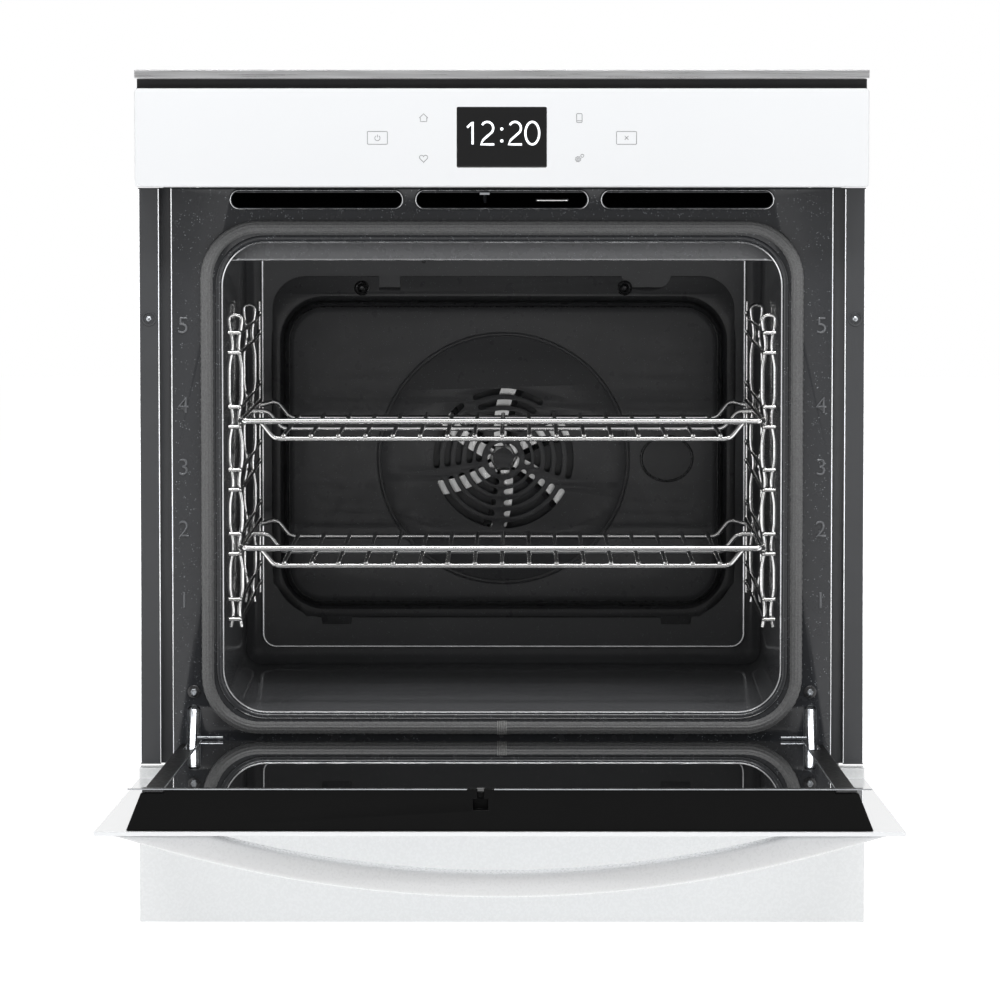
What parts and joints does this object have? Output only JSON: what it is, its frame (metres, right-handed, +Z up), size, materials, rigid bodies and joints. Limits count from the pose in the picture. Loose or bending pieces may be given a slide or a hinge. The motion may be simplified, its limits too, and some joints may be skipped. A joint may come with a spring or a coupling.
{
  "type": "wall oven",
  "caption": "Built-in electric wall oven with white glass front, drop-down door shown open, bow handle, two sliding wire racks and a fan behind the back panel.",
  "frame": {"origin": "underside of the base pan, midway across, in the plane of the cabinet's face (the backs of the mounting flanges)", "axes": "+X to the right of a person facing the oven, +Y back into the cabinet, +Z up"},
  "size_m": [0.595, 1.0558, 0.7],
  "materials": {
    "white_glass": "back-painted white toughened glass, polished",
    "dark_glass": "heat-reflecting toughened glass, dark and mirror-like",
    "front_enamel": "speckled blue-grey gloss enamel",
    "cavity_enamel": "glossy near-black enamel",
    "flange_paint": "satin grey enamel",
    "black_paint": "satin black",
    "galvanised": "galvanised sheet, dull",
    "brushed_strip": "fine brushed, along its length",
    "chrome_wire": "bright plated wire",
    "zinc": "bright zinc plate",
    "braid": "braided glass fibre, grey-brown",
    "white_paint": "smooth white powder coat",
    "handle_paint": "satin white",
    "mineral_wool": "loose mineral wool",
    "black_plastic": "moulded, matt",
    "circuit_board": "board lacquer",
    "display_black": "gloss black window",
    "lamp_glass": "pressed clear glass"
  },
  "bodies": {
    "oven_body": {"base_pan": "galvanised", "side_panel_left": "galvanised", "side_panel_right": "galvanised", "rear_panel": "galvanised", "top_cover": "galvanised", "mounting_flange_left": "flange_paint", "mounting_flange_right": "flange_paint", "flange_screw_left": "zinc", "flange_screw_right": "zinc", "front_frame": "front_enamel", "door_gasket": "braid", "hinge_receiver_left": "zinc", "hinge_receiver_right": "zinc", "hinge_arm_left": "zinc", "hinge_arm_right": "zinc", "hinge_bolt_left": "zinc", "hinge_bolt_right": "zinc", "cavity_liner": "cavity_enamel", "insulation_blanket": "mineral_wool", "ceiling_baffle": "cavity_enamel", "broil_element": "black_paint", "bake_element": "black_paint", "temperature_probe": "chrome_wire", "fan_cover": "cavity_enamel", "fan_motor": "galvanised", "ring_element": "black_paint", "lamp_housing": "galvanised", "lamp_lens": "lamp_glass", "rack_ladder_left": "chrome_wire", "rack_ladder_right": "chrome_wire", "vent_duct": "galvanised", "blower_housing": "galvanised", "blower_motor": "galvanised", "control_glass": "white_glass", "display_module": "display_black", "control_carrier": "black_plastic", "control_board": "circuit_board", "top_trim_strip": "brushed_strip", "lower_trim_panel": "white_paint", "terminal_box": "black_plastic", "cable_gland": "black_plastic", "safety_thermostat": "galvanised"},
    "door": {"door_outer_glass": "white_glass", "door_middle_glass": "dark_glass", "door_inner_glass": "dark_glass", "door_rail_left": "black_paint", "door_rail_right": "black_paint", "door_top_cap": "black_paint", "door_bottom_cap": "black_paint", "hinge_carrier_left": "zinc", "hinge_carrier_right": "zinc", "pane_clip_left": "black_paint", "pane_clip_right": "black_paint", "handle_bar": "handle_paint"},
    "upper_rack": {"upper_rack": "chrome_wire"},
    "lower_rack": {"lower_rack": "chrome_wire"},
    "convection_fan": {"convection_fan": "brushed_strip"},
    "cooling_fan": {"cooling_fan": "brushed_strip"},
    "door_latch": {"door_latch": "zinc"},
    "switch_lever": {"switch_lever": "chrome_wire"}
  },
  "joints": [
    {"name": "door_hinge", "type": "hinge", "parent": "oven_body", "child": "door", "pos_m": [0, -0.023, 0.136], "axis": [1, 0, 0], "range_deg": [-87.65, 0]},
    {"name": "upper_rack_slide", "type": "slide", "parent": "oven_body", "child": "upper_rack", "axis": [0, -1, 0], "range_m": [0, 0.28]},
    {"name": "lower_rack_slide", "type": "slide", "parent": "oven_body", "child": "lower_rack", "axis": [0, -1, 0], "range_m": [0, 0.28]},
    {"name": "convection_fan_spin", "type": "hinge", "parent": "oven_body", "child": "convection_fan", "pos_m": [0, 0.4, 0.357], "axis": [0, 1, 0], "continuous": true},
    {"name": "cooling_fan_spin", "type": "hinge", "parent": "oven_body", "child": "cooling_fan", "pos_m": [0, 0.312, 0.6215], "axis": [1, 0, 0], "continuous": true},
    {"name": "latch_turn", "type": "hinge", "parent": "oven_body", "child": "door_latch", "pos_m": [-0.014, 0.03, 0.5945], "axis": [1, 0, 0], "range_deg": [0, 7]},
    {"name": "switch_lever_turn", "type": "hinge", "parent": "oven_body", "child": "switch_lever", "pos_m": [0.041, 0.03, 0.594], "axis": [1, 0, 0], "range_deg": [0, 6], "stiffness_Nm_per_rad": 0.02}
  ]
}
